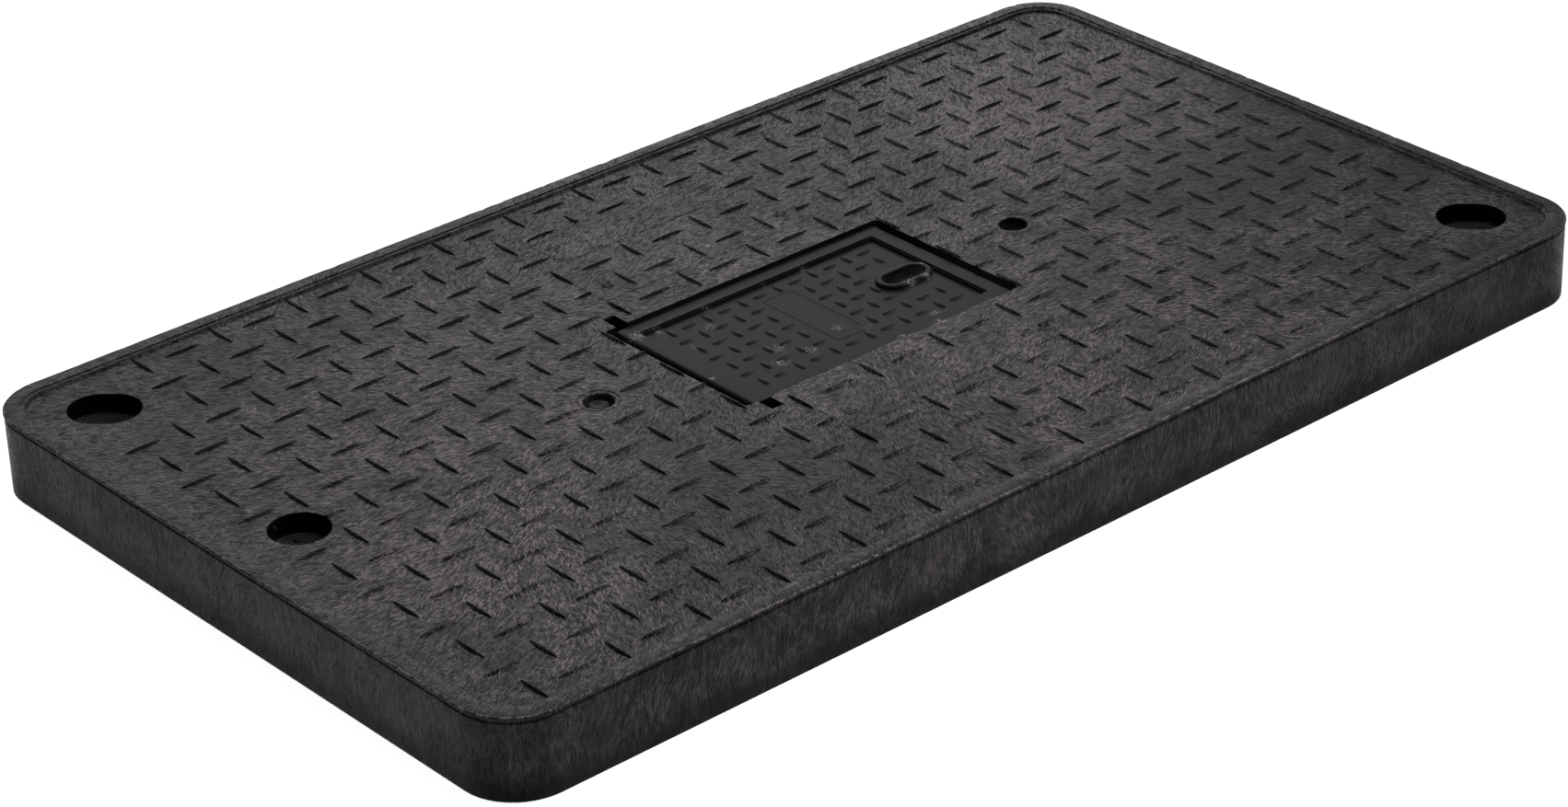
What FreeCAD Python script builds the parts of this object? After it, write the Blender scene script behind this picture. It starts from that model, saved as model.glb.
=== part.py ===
"""A moulded cover for a water meter box, with a hinged lid over the meter's dial.

X runs along the long side, Y along the short side, and Z up.
The origin is the middle of the plane that the cover rests on.
"""
import FreeCAD, Part
import math
import os
from FreeCAD import Vector

# Overall size of the cover
cover_length = 787.4
cover_width = 452.8
cover_height = 47.6
corner_radius = 33.5

# The parting lip stands a little proud of the side walls
lip_height = 3.0
lip_overhang = 0.6
lip_edge_radius = 1.6

# Raised rim, which steps down to the tread field in two stages
rim_width = 9.0
rim_step_depth = 0.6
rim_ledge_width = 2.4
rim_slope_width = 1.2
field_drop = 2.0
field_corner_radius = 18.0

# Walls of the moulding
plate_thickness = 9.0
skirt_thickness = 9.0
rib_thickness = 6.0
largest_cell = 75.0

# Tread: lens-shaped lugs, by turns along X and along Y
lug_pitch = 25.4
lug_length = 22.8
lug_width = 4.6
lug_height = 1.5
lug_stations = (-1.0, -0.45, 0.45, 1.0)
lug_root = 0.4
tread_margin = 10.0
smallest_lug_volume = 1.0

# Blind holes for lifting the cover
hole_depth = 11.5
hole_floor_thickness = 4.0
hole_wall_thickness = 5.0
lift_hole_radius = 16.5
lift_hole_turn = 45.0
lift_hole_stretch = 7.0
lift_hole_inset_x = 47.0
lift_hole_inset_y = 49.5
lift_hole_clear_radius = 38.0

# Round blind hole on the centreline, for a fitting that stands in it
socket_radius = 16.3
socket_inset = 47.0

# Recesses where the moulding was fed, on the centreline
gate_spacing = 304.8
gate_radius = 8.5
gate_floor_radius = 7.0
gate_depth = 4.0
gate_stub_radius = 5.5
gate_stub_height = 1.8
gate_clear_radius = 13.0

# Bare places in the tread: the two sign plates, and the ends of the blank one
sign_length = 128.0
sign_width = 36.0
sign_middle = 159.5
maker_length = 151.0
maker_width = 31.0
maker_middle = -101.5
blank_length = 152.6
blank_width = 32.5
blank_middle = 103.8
blank_end = 12.6

# Opening for reading the meter, and the ledge that the lid lies on
opening_length = 200.0
opening_width = 119.0
opening_corner_radius = 1.5
well_wall = 6.0
ledge_width = 6.0
ledge_end_width = 8.0
ledge_thickness = 5.0

# Reader lid
lid_drop = 2.0
lid_depth = 14.0
lid_side_gap = 1.7
lid_hinge_end_gap = 5.5
lid_free_end_gap = 4.0
lid_corner_radius = 1.5
lid_hinge_edge_radius = 3.0
lid_frame_width = 9.2
lid_frame_step_depth = 0.8
lid_frame_step_width = 1.3
lid_panel_drop = 2.0
lid_panel_thickness = 5.0
lid_wall = 5.0
lid_rib_thickness = 4.0
lid_largest_cell = 60.0

# Small lugs on the reader lid
lid_lug_pitch = 12.9
lid_lug_length = 9.6
lid_lug_width = 4.2
lid_lug_height = 1.1
lid_lug_stations = (-1.0, 0.0, 1.0)
lid_lug_bluntness = 0.4
lid_lug_columns = 12
lid_lug_rows = 7

# Bare band on the reader lid
lid_band_length = 64.0
lid_band_width = 21.0

# Finger slot in the reader lid
slot_length = 28.5
slot_width = 12.5
slot_middle = 67.5
collar_width = 4.0

# Hinge of the reader lid: moulded pins in split bearings under the plate
hinge_inset = 12.0
hinge_depth = 10.0
pin_radius = 3.25
pin_clearance = 0.05
pin_tip_chamfer = 0.6
pin_end_clearance = 1.0
notch_width = 8.2
notch_reach = 12.0
bearing_cap = 3.5
bearing_wall = 5.0
bearing_floor = 4.0
pin_boss_size = 13.5
pin_boss_width = 9.0

# A cutter runs this far past a face, and a side under this length is left out
past = 1.0
shortest_side = 0.001

# Heights that several pieces share
field_z = cover_height - field_drop
plate_z = field_z - plate_thickness
lid_top_z = field_z - lid_drop
lid_bottom_z = lid_top_z - lid_depth
lid_panel_z = lid_top_z - lid_panel_drop
hinge_z = field_z - hinge_depth

# Places that several pieces share
half_length = cover_length / 2
half_width = cover_width / 2
field_inset = rim_width + rim_ledge_width + rim_slope_width
half_opening_x = opening_length / 2
half_opening_y = opening_width / 2
hinge_x = hinge_inset - half_opening_x
lid_x0 = lid_hinge_end_gap - half_opening_x
lid_x1 = half_opening_x - lid_free_end_gap
lid_y1 = half_opening_y - lid_side_gap
lid_middle_x = (lid_x0 + lid_x1) / 2
bore_radius = pin_radius + pin_clearance
notch_end_y = half_opening_y + notch_reach
bearing_end_y = notch_end_y + bearing_cap
pin_end_y = bearing_end_y - pin_end_clearance


def box(x0, x1, y0, y1, z0, z1):
    """A box between two corners."""
    return Part.makeBox(x1 - x0, y1 - y0, z1 - z0, Vector(x0, y0, z0))


def rounded_outline(x0, x1, y0, y1, radius, z):
    """A closed rectangle at height z, with its corners rounded."""
    r = min(radius, (x1 - x0) / 2, (y1 - y0) / 2)
    centres = [(x1 - r, y1 - r), (x0 + r, y1 - r), (x0 + r, y0 + r), (x1 - r, y0 + r)]
    arcs = []
    for turn, (cx, cy) in enumerate(centres):
        start = math.pi / 2 * turn
        arc = Part.Circle(Vector(cx, cy, z), Vector(0, 0, 1), r)
        arcs.append(Part.Arc(arc, start, start + math.pi / 2).toShape())
    ordered = []
    for arc, following in zip(arcs, arcs[1:] + arcs[:1]):
        ordered.append(arc)
        end = arc.lastVertex().Point
        start = following.firstVertex().Point
        if end.distanceToPoint(start) > shortest_side:
            ordered.append(Part.makeLine(end, start))
    return Part.Wire(ordered)


def rounded_block(x0, x1, y0, y1, radius, z0, z1):
    """A block with its upright edges rounded."""
    face = Part.Face(rounded_outline(x0, x1, y0, y1, radius, z0))
    return face.extrude(Vector(0, 0, z1 - z0))


def inset_block(inset, radius, z0, z1):
    """A rounded block that keeps the same distance from the cover's outline all round."""
    x = half_length - inset
    y = half_width - inset
    return rounded_block(-x, x, -y, y, radius, z0, z1)


def obround_block(length, width, z0, z1):
    """A block with half-round ends, along X and centred on the Z axis."""
    half = length / 2
    return rounded_block(-half, half, -width / 2, width / 2, width / 2, z0, z1)


def cell_spans(low, high, rib, largest):
    """Share a stretch between equal cells, parted by ribs, none over the largest size."""
    count = max(1, math.ceil((high - low + rib) / (largest + rib)))
    width = (high - low - rib * (count - 1)) / count
    return [(low + k * (width + rib), low + k * (width + rib) + width) for k in range(count)]


def facet(points):
    """A flat face through its corners in order."""
    return Part.Face(Part.makePolygon(points + points[:1]))


def strip(lower, upper):
    """The triangles between two rows of points, without those that have no area."""
    faces = []
    for k in range(len(lower) - 1):
        corners = [lower[k], lower[k + 1], upper[k + 1], upper[k]]
        for chosen in ((0, 1, 2), (0, 2, 3)):
            points = [corners[n] for n in chosen]
            if (points[1] - points[0]).cross(points[2] - points[0]).Length > 1e-6:
                faces.append(facet(points))
    return faces


def lug(length, width, height, stations, bluntness=0.0):
    """A lens-shaped lug along X that rises from z = 0 to a ridge, with a root below.

    The stations run from -1 at one tip to 1 at the other. The outline follows a parabola and
    the ridge a circle's arc, and bluntness is the share of the width that is left at the tips.
    """
    half = [width / 2 * (bluntness + (1 - bluntness) * (1 - t * t)) for t in stations]
    xs = [t * length / 2 for t in stations]
    right = [Vector(x, -y, 0) for x, y in zip(xs, half)]
    left = [Vector(x, y, 0) for x, y in zip(xs, half)]
    ridge = [Vector(x, 0, height * math.sqrt(1 - t * t)) for x, t in zip(xs, stations)]
    faces = strip(right, ridge) + strip(ridge, left)
    outline = right + left[-2:0:-1]
    if bluntness > 0:
        outline = right + ridge[-1:] + left[::-1] + ridge[:1]
    down = Vector(0, 0, -lug_root)
    floor = [point + down for point in outline]
    for k, point in enumerate(outline):
        following = (k + 1) % len(outline)
        faces.append(facet([point, floor[k], floor[following], outline[following]]))
    faces.append(facet(floor))
    return Part.Solid(Part.Shell(faces))


def placed(shape, x, y, z, quarter_turned=False):
    """A copy of a shape, turned by 90 degrees if asked, then moved."""
    copy = shape.copy()
    if quarter_turned:
        copy.rotate(Vector(0, 0, 0), Vector(0, 0, 1), 90)
    copy.translate(Vector(x, y, z))
    return copy


def lift_hole_places():
    """The centres of the two stretched holes, in opposite corners."""
    x = half_length - lift_hole_inset_x
    y = half_width - lift_hole_inset_y
    return [(-x, y), (x, -y)]


def gate_places():
    """The centres of the two feed recesses."""
    return [(-gate_spacing / 2, 0.0), (gate_spacing / 2, 0.0)]


def socket_place():
    """The centre of the round hole."""
    return (socket_inset - half_length, 0.0)


def bare_places():
    """The boxes round the field's surface that hold no tread."""
    low = field_z - lug_root - past
    high = field_z + lug_height + past
    places = [
        (sign_length, sign_width, 0.0, sign_middle),
        (maker_length, maker_width, 0.0, maker_middle),
        (blank_end, blank_width, (blank_length - blank_end) / 2, blank_middle),
        (blank_end, blank_width, (blank_end - blank_length) / 2, blank_middle),
    ]
    boxes = []
    for length, width, x, y in places:
        boxes.append(box(x - length / 2, x + length / 2, y - width / 2, y + width / 2, low, high))
    return boxes


def is_clear_of_holes(x, y):
    """Whether a lug's centre is far enough from the holes that the tread keeps away from."""
    rings = [(place, lift_hole_clear_radius) for place in lift_hole_places()]
    rings += [(place, gate_clear_radius) for place in gate_places()]
    return all(math.dist((x, y), place) > radius for place, radius in rings)


def is_under_lid(x, y):
    """Whether a lug lies wholly inside the opening."""
    reach = lug_length / 2
    return abs(x) + reach < half_opening_x and abs(y) + reach < half_opening_y


def tread_lugs(cutters):
    """All the lugs of the field, each cut back where it meets a cutter."""
    along = lug(lug_length, lug_width, lug_height, lug_stations)
    columns = math.floor((half_length - field_inset - tread_margin) / lug_pitch)
    rows = math.floor((half_width - field_inset - tread_margin) / lug_pitch)
    lugs = []
    for i in range(-columns, columns + 1):
        for j in range(-rows, rows + 1):
            x = i * lug_pitch
            y = j * lug_pitch
            if not is_clear_of_holes(x, y) or is_under_lid(x, y):
                continue
            shape = placed(along, x, y, field_z, (i + j) % 2 == 0)
            lugs += cut_back(shape, cutters)
    return lugs


def cut_back(shape, cutters):
    """What is left of a lug outside the cutters, as no piece or one piece."""
    near = [cutter for cutter in cutters if shape.BoundBox.intersect(cutter.BoundBox)]
    if near:
        shape = shape.cut(near)
    return [solid for solid in shape.Solids if solid.Volume > smallest_lug_volume]


def outer_shell():
    """The outside of the cover: side walls, parting lip, rim and sunken field."""
    lip_z = cover_height - lip_height
    sides = inset_block(lip_overhang, corner_radius - lip_overhang, 0, lip_z)
    lip = inset_block(0, corner_radius, lip_z, cover_height)
    top_edges = [edge for edge in lip.Edges if is_level(edge, cover_height)]
    lip = lip.makeFillet(lip_edge_radius, top_edges)
    body = sides.fuse(lip)
    ledge_z = cover_height - rim_step_depth
    inner_corner = max(field_corner_radius, corner_radius - field_inset)
    first = inset_block(rim_width, inner_corner + rim_ledge_width, ledge_z, cover_height + past)
    slope_top = rounded_at(rim_width + rim_ledge_width, inner_corner + rim_slope_width, ledge_z)
    slope_foot = rounded_at(field_inset, inner_corner, field_z)
    slope = Part.makeLoft([slope_foot, slope_top], True, True)
    return body.cut(first.fuse(slope))


def rounded_at(inset, radius, z):
    """The cover's outline, drawn in by an inset, at a height."""
    x = half_length - inset
    y = half_width - inset
    return rounded_outline(-x, x, -y, y, radius, z)


def is_level(edge, z):
    """Whether an edge lies at one height."""
    return abs(edge.BoundBox.ZMin - z) < 1e-6 and abs(edge.BoundBox.ZMax - z) < 1e-6


def rib_cells():
    """The hollows under the plate, between the skirt, the well and the ribs.

    Those in the corners follow the skirt's round inner corners, so that its wall stays whole.
    """
    inner_x = half_length - skirt_thickness
    inner_y = half_width - skirt_thickness
    well_x = half_opening_x + well_wall
    well_y = half_opening_y + well_wall
    right = cell_spans(well_x, inner_x, rib_thickness, largest_cell)
    left = [(-high, -low) for low, high in right]
    middle_x = cell_spans(-half_opening_x, half_opening_x, rib_thickness, largest_cell)
    back = cell_spans(well_y, inner_y, rib_thickness, largest_cell)
    front = [(-high, -low) for low, high in back]
    middle_y = cell_spans(-half_opening_y, half_opening_y, rib_thickness, largest_cell)
    spans = [(xs, ys) for xs in left + right for ys in front + middle_y + back]
    spans += [(xs, ys) for xs in middle_x for ys in front + back]
    inside = inset_block(skirt_thickness, corner_radius - skirt_thickness, -past, plate_z)
    cells = []
    for (x0, x1), (y0, y1) in spans:
        cells.append(box(x0, x1, y0, y1, -past, plate_z).common(inside))
    return cells


def lift_hole(radius, stretch, z0, z1):
    """A cylinder stretched along X by moving its halves apart."""
    return obround_block(2 * radius + stretch, 2 * radius, z0, z1)


def blind_holes():
    """The holes in the field, and the thicker bosses under the plate that hold them."""
    floor_z = field_z - hole_depth
    boss_z = floor_z - hole_floor_thickness
    top_z = cover_height + past
    holes = []
    bosses = []
    for x, y in lift_hole_places():
        turn = math.copysign(lift_hole_turn, x * y)
        wall = hole_wall_thickness
        hole = lift_hole(lift_hole_radius, lift_hole_stretch, floor_z, top_z)
        boss = lift_hole(lift_hole_radius + wall, lift_hole_stretch, boss_z, field_z)
        for shape in (hole, boss):
            shape.rotate(Vector(0, 0, 0), Vector(0, 0, 1), turn)
            shape.translate(Vector(x, y, 0))
        holes.append(hole)
        bosses.append(boss)
    x, y = socket_place()
    holes.append(Part.makeCylinder(socket_radius, top_z - floor_z, Vector(x, y, floor_z)))
    boss_radius = socket_radius + hole_wall_thickness
    bosses.append(Part.makeCylinder(boss_radius, field_z - boss_z, Vector(x, y, boss_z)))
    return holes, bosses


def gate_recess(x, y):
    """A shallow funnel in the field, left where the feed was cut off."""
    low = field_z - gate_depth
    return Part.makeCone(gate_floor_radius, gate_radius, gate_depth, Vector(x, y, low))


def gate_stub():
    """The broken end of the feed, which stands in the first recess."""
    x, y = gate_places()[0]
    low = field_z - gate_depth - lug_root
    return Part.makeCylinder(gate_stub_radius, gate_stub_height + lug_root, Vector(x, y, low))


def lid_opening():
    """The opening through the plate, with the well below it left open."""
    x = half_opening_x
    y = half_opening_y
    return rounded_block(-x, x, -y, y, opening_corner_radius, -past, cover_height + past)


def lid_ledge():
    """The shelf on three sides of the well that carries the closed lid."""
    top = lid_bottom_z
    low = top - ledge_thickness
    x0 = hinge_x + bearing_wall + bore_radius
    x1 = half_opening_x + well_wall / 2
    y = half_opening_y
    end = box(half_opening_x - ledge_end_width, x1, -y, y, low, top)
    back = box(x0, x1, y - ledge_width, y + well_wall / 2, low, top)
    front = box(x0, x1, -y - well_wall / 2, ledge_width - y, low, top)
    return [end, back, front]


def bearing_block(side):
    """The block under the plate that holds one hinge pin, at +Y or -Y."""
    half = bore_radius + bearing_wall
    low = hinge_z - bore_radius - bearing_floor
    y0 = half_opening_y
    y1 = bearing_end_y + bearing_wall
    block = box(hinge_x - half, hinge_x + half, y0, y1, low, plate_z + past)
    return mirrored(block, side)


def bearing_space(side):
    """The notch from above, the bore, and the slot from below past the notch."""
    y0 = half_opening_y - past
    half = notch_width / 2
    notch = box(hinge_x - half, hinge_x + half, y0, notch_end_y, hinge_z, cover_height + past)
    start = Vector(hinge_x, y0, hinge_z)
    bore = Part.makeCylinder(bore_radius, bearing_end_y - y0, start, Vector(0, 1, 0))
    low = hinge_z - bore_radius - bearing_floor - past
    slot = box(
        hinge_x - bore_radius, hinge_x + bore_radius, notch_end_y, bearing_end_y, low, hinge_z)
    return mirrored(notch.fuse([bore, slot]), side)


def mirrored(shape, side):
    """The shape itself for +Y, and its mirror image for -Y."""
    if side > 0:
        return shape
    return shape.mirror(Vector(0, 0, 0), Vector(0, 1, 0))


def cover_cutters():
    """Everything that is taken out of the plate from above."""
    holes, _ = blind_holes()
    gates = [gate_recess(x, y) for x, y in gate_places()]
    return holes + gates + [lid_opening(), bearing_space(1), bearing_space(-1)]


def make_cover():
    """The whole cover, moulded in one piece."""
    _, bosses = blind_holes()
    body = outer_shell().cut(rib_cells() + [lid_opening()])
    body = body.fuse(bosses + lid_ledge() + [bearing_block(1), bearing_block(-1)])
    cutters = cover_cutters()
    body = body.cut(cutters).fuse(gate_stub()).removeSplitter()
    return body.fuse(tread_lugs(bare_places() + cutters))


def lid_outer():
    """The lid's outer form, with its hinge end rounded so that it swings clear."""
    y = lid_y1
    block = rounded_block(lid_x0, lid_x1, -y, y, lid_corner_radius, lid_bottom_z, lid_top_z)
    r = lid_hinge_edge_radius
    corner = box(lid_x0 - past, lid_x0 + r, -y, y, lid_top_z - r, lid_top_z + past)
    centre = Vector(lid_x0 + r, -y, lid_top_z - r)
    corner = corner.cut(Part.makeCylinder(r, 2 * y, centre, Vector(0, 1, 0)))
    return block.cut(corner)


def lid_recess():
    """The sunken panel inside the lid's frame, with its two small steps."""
    x0 = lid_x0 + lid_frame_width
    x1 = lid_x1 - lid_frame_width
    y = lid_y1 - lid_frame_width
    step_z = lid_top_z - lid_frame_step_depth
    upper = rounded_block(x0, x1, -y, y, lid_corner_radius, step_z, lid_top_z + past)
    s = lid_frame_step_width
    lower = rounded_block(
        x0 + s, x1 - s, s - y, y - s, lid_corner_radius, lid_panel_z, lid_top_z + past)
    return upper.fuse(lower)


def lid_cells():
    """The hollows under the lid, between its walls and ribs."""
    ceiling = lid_panel_z - lid_panel_thickness
    xs = cell_spans(lid_x0 + lid_wall, lid_x1 - lid_wall, lid_rib_thickness, lid_largest_cell)
    ys = cell_spans(lid_wall - lid_y1, lid_y1 - lid_wall, lid_rib_thickness, lid_largest_cell)
    cells = []
    for x0, x1 in xs:
        for y0, y1 in ys:
            cells.append(box(x0, x1, y0, y1, lid_bottom_z - past, ceiling))
    return cells


def pin_boss(side):
    """The solid corner of the lid that a hinge pin grows from."""
    ceiling = lid_panel_z - lid_panel_thickness + past
    y0 = lid_y1 - pin_boss_width
    block = box(
        lid_x0 + lid_wall / 2, lid_x0 + pin_boss_size, y0, lid_y1 - lid_wall / 2,
        lid_bottom_z, ceiling)
    return mirrored(block, side)


def hinge_pin(side):
    """One hinge pin, with a chamfered tip, from inside the lid's wall outwards."""
    start = lid_y1 - lid_wall
    length = pin_end_y - start - pin_tip_chamfer
    pin = Part.makeCylinder(pin_radius, length, Vector(hinge_x, start, hinge_z), Vector(0, 1, 0))
    tip_base = Vector(hinge_x, start + length, hinge_z)
    tip = Part.makeCone(
        pin_radius, pin_radius - pin_tip_chamfer, pin_tip_chamfer, tip_base, Vector(0, 1, 0))
    return mirrored(pin.fuse(tip), side)


def slot_collar():
    """The raised ring round the finger slot, level with the lid's frame."""
    low = lid_panel_z - lug_root
    ring = obround_block(
        slot_length + 2 * collar_width, slot_width + 2 * collar_width, low, lid_top_z)
    ring.translate(Vector(slot_middle, 0, 0))
    return ring


def finger_slot():
    """The slot through the panel and the collar."""
    slot = obround_block(slot_length, slot_width, lid_bottom_z - past, lid_top_z + past)
    slot.translate(Vector(slot_middle, 0, 0))
    return slot


def is_on_lid_band(x, y):
    """Whether a small lug would stand on the bare band."""
    return abs(x - lid_middle_x) < lid_band_width / 2 and abs(y) < lid_band_length / 2


def is_near_collar(x, y):
    """Whether a small lug would run into the collar of the finger slot."""
    reach_x = slot_length / 2 + collar_width
    reach_y = slot_width / 2 + collar_width + lid_lug_length / 2
    return abs(x - slot_middle) < reach_x and abs(y) < reach_y


def lid_lugs():
    """The small lugs of the lid's panel, by turns along X and along Y."""
    along = lug(
        lid_lug_length, lid_lug_width, lid_lug_height, lid_lug_stations, lid_lug_bluntness)
    lugs = []
    for i in range(lid_lug_columns):
        for j in range(lid_lug_rows):
            x = lid_middle_x + (i - (lid_lug_columns - 1) / 2) * lid_lug_pitch
            y = (j - (lid_lug_rows - 1) / 2) * lid_lug_pitch
            if is_on_lid_band(x, y) or is_near_collar(x, y):
                continue
            lugs.append(placed(along, x, y, lid_panel_z, (i + j) % 2 == 0))
    return lugs


def make_reader_lid():
    """The reader lid with its hinge pins, moulded in one piece."""
    body = lid_outer().cut([lid_recess()] + lid_cells())
    added = [slot_collar(), pin_boss(1), pin_boss(-1), hinge_pin(1), hinge_pin(-1)]
    body = body.fuse(added + lid_lugs())
    return body.cut(finger_slot()).removeSplitter()


def save(shape, name):
    """Write one piece as a STEP file, and print what it is."""
    shape.exportStep(os.path.join("parts", name + ".step"))
    box_size = shape.BoundBox
    print(name, shape.isValid(), len(shape.Solids), "solid", len(shape.Faces), "faces",
          round(shape.Volume / 1000, 1), "cm3",
          [round(v, 2) for v in (box_size.XMin, box_size.YMin, box_size.ZMin,
                                 box_size.XMax, box_size.YMax, box_size.ZMax)])


os.makedirs("parts", exist_ok=True)
save(make_cover(), "cover")
save(make_reader_lid(), "reader_lid")
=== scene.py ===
# %% [markdown]
# # A water meter box cover
#
# The real object is a black slab of moulded plastic, with a raised rim, a tread of small lugs,
# and a reader lid that swings up over the meter's dial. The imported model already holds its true
# sizes and its hinge. This lesson keeps that model as a fixed frame, lays finer surfaces on it,
# and gives every surface a finish. All sizes below are in millimetres, in the model's own frame.

import math

import bmesh
import bpy
import numpy as np
from mathutils import Matrix, Vector


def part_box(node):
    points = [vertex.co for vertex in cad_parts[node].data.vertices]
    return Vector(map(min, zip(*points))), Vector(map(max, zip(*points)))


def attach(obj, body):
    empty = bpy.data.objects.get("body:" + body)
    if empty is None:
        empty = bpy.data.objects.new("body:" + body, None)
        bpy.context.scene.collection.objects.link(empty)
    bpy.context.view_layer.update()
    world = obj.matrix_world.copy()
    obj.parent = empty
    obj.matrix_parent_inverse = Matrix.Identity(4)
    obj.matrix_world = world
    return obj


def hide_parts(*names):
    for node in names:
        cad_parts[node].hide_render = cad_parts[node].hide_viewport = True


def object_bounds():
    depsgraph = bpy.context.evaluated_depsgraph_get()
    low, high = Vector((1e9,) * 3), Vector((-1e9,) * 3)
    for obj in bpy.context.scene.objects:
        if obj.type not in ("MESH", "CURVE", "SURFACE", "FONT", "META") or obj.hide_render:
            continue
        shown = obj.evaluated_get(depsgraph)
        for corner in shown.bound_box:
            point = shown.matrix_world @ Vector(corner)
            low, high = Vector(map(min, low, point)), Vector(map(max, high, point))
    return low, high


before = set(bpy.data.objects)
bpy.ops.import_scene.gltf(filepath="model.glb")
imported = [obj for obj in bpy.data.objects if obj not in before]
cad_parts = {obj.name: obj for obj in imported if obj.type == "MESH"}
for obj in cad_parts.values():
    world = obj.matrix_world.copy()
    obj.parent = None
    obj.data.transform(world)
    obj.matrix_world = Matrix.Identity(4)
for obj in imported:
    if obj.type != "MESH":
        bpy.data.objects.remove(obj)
cad_low, cad_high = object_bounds()
MM = 0.001
print("the model's box in mm:", [round(v / MM, 1) for v in cad_high - cad_low])

# %% Sizes that the pieces share
half_length = cad_high.x / MM
half_width = cad_high.y / MM
cover_height = cad_high.z / MM
corner_radius = 33.5

lip_height = 3.0
lip_overhang = 0.6
lip_radius = 1.6
rim_width = 9.0
rim_step = 0.6
rim_ledge = 2.4
rim_slope = 1.2
field_drop = 2.0
field_z = cover_height - field_drop
field_inset = rim_width + rim_ledge + rim_slope

opening_half_x = 100.0
opening_half_y = 59.5
lid_low, lid_high = (np.array(corner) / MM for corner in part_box("reader_lid"))
lid_top_z = lid_high[2]
lid_panel_z = lid_top_z - 2.0
panel_half_x, panel_half_y = 84.4, 47.0
band_half_x, band_half_y = 10.5, 32.0
lid_middle_x = (lid_low[0] + lid_high[0]) / 2
print("field at", round(field_z, 2), "and the lid's panel at", round(lid_panel_z, 2))


# %% [markdown]
# ## From arrays to meshes
#
# Every new surface is worked out as a grid of points in numpy. Blender takes such a grid whole:
# the corners go in as one long list, and the faces as lists of corner numbers. That is far quicker
# than adding points one by one, and the shape stays a formula that can be read.

# %% Helpers that turn a grid of points into a piece
corner_signs = np.array([(1, 1), (-1, 1), (-1, -1), (1, -1)], float)


def grid_quads(rows, columns, closed=False):
    """Four-sided faces between the points of a grid that is numbered row by row.

    Each face joins a point, the next in its row, and the two above them. When the rows are
    closed rings, the last column is joined to the first.
    """
    row = np.arange(rows - 1)[:, None]
    column = np.arange(columns if closed else columns - 1)[None, :]
    following = (column + 1) % columns
    corners = [row * columns + column, row * columns + following,
               (row + 1) * columns + following, (row + 1) * columns + column]
    return np.stack(corners, axis=-1).reshape(-1, 4)


def placed(name, data):
    """An object that holds some data, linked to the scene."""
    made = bpy.data.objects.new(name, data)
    bpy.context.scene.collection.objects.link(made)
    return made


def make_piece(name, points, *face_sets, smooth_angle=None):
    """A mesh object from points in millimetres and arrays of faces, in the scene's metres."""
    mesh = bpy.data.meshes.new(name)
    points = np.asarray(points, np.float32).reshape(-1, 3) * MM
    mesh.vertices.add(len(points))
    mesh.vertices.foreach_set("co", points.ravel())
    sizes = np.concatenate([np.full(len(faces), faces.shape[1]) for faces in face_sets])
    corners = np.concatenate([faces.ravel() for faces in face_sets])
    mesh.loops.add(len(corners))
    mesh.loops.foreach_set("vertex_index", corners.astype(np.int32))
    mesh.polygons.add(len(sizes))
    starts = np.concatenate([[0], np.cumsum(sizes)[:-1]])
    mesh.polygons.foreach_set("loop_start", starts.astype(np.int32))
    mesh.update(calc_edges=True)
    mesh.shade_smooth()
    if smooth_angle is not None:
        mesh.set_sharp_from_angle(angle=math.radians(smooth_angle))
    print(name, len(points), "points,", len(sizes), "faces")
    return placed(name, mesh)


def closed_rings(name, points, count, smooth_angle):
    """A surface through rings of count points each, closed by a fan to the one point at the end."""
    rows = len(points) // count
    around = np.arange(count)
    last = (rows - 1) * count
    fan = np.stack([last + around, last + (around + 1) % count, np.full(count, rows * count)], axis=1)
    return make_piece(name, points, grid_quads(rows, count, closed=True), fan, smooth_angle=smooth_angle)


# %% [markdown]
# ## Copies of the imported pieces
#
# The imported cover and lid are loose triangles. Their hidden sides are already right, so those
# triangles are kept, joined where their corners meet, and only the faces that get a finer
# surface are left out: the cover's outer walls, rim, field, plates, lugs and holes, and the lid's
# lugs and collar.

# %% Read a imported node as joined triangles
def packed_triangles(node):
    """The points of a node in millimetres, and its triangles, with equal corners made one.

    Corners are equal when they agree after rounding to a ten-thousandth of a millimetre.
    """
    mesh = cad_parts[node].data
    points = np.empty(len(mesh.vertices) * 3, np.float32)
    mesh.vertices.foreach_get("co", points)
    mesh.calc_loop_triangles()
    triangles = np.empty(len(mesh.loop_triangles) * 3, np.int32)
    mesh.loop_triangles.foreach_get("vertices", triangles)
    rounded = np.round(points.reshape(-1, 3).astype(float) / MM, 4)
    merged, place = np.unique(rounded, axis=0, return_inverse=True)
    triangles = place.reshape(-1)[triangles].reshape(-1, 3)
    a, b, c = triangles.T
    return merged, triangles[(a != b) & (b != c) & (c != a)]


def inset_of(x, y):
    """How far a point lies inside the cover's rounded outline.

    It is the corner's radius, less how far the point lies past the centre of the corner's arc. A
    point that is past it along neither axis has a negative distance, the nearer one of the two.
    """
    past_x = np.abs(x) - (half_length - corner_radius)
    past_y = np.abs(y) - (half_width - corner_radius)
    past_both = np.hypot(np.maximum(past_x, 0), np.maximum(past_y, 0))
    return corner_radius - past_both - np.minimum(np.maximum(past_x, past_y), 0)


# %% Keep the parts of the cover that stay as they are
hole_depth = 11.5
lift_x, lift_y = half_length - 47.0, half_width - 49.5
lift_radius, lift_stretch = 16.5, 7.0
socket_x, socket_radius = 47.0 - half_length, 16.3
gate_x = 152.4

# Each place has x, y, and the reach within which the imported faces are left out.
hole_places = [(-lift_x, lift_y, 20.2), (lift_x, -lift_y, 20.2), (socket_x, 0.0, 16.6),
               (-gate_x, 0.0, 9.0), (gate_x, 0.0, 9.0)]

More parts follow.
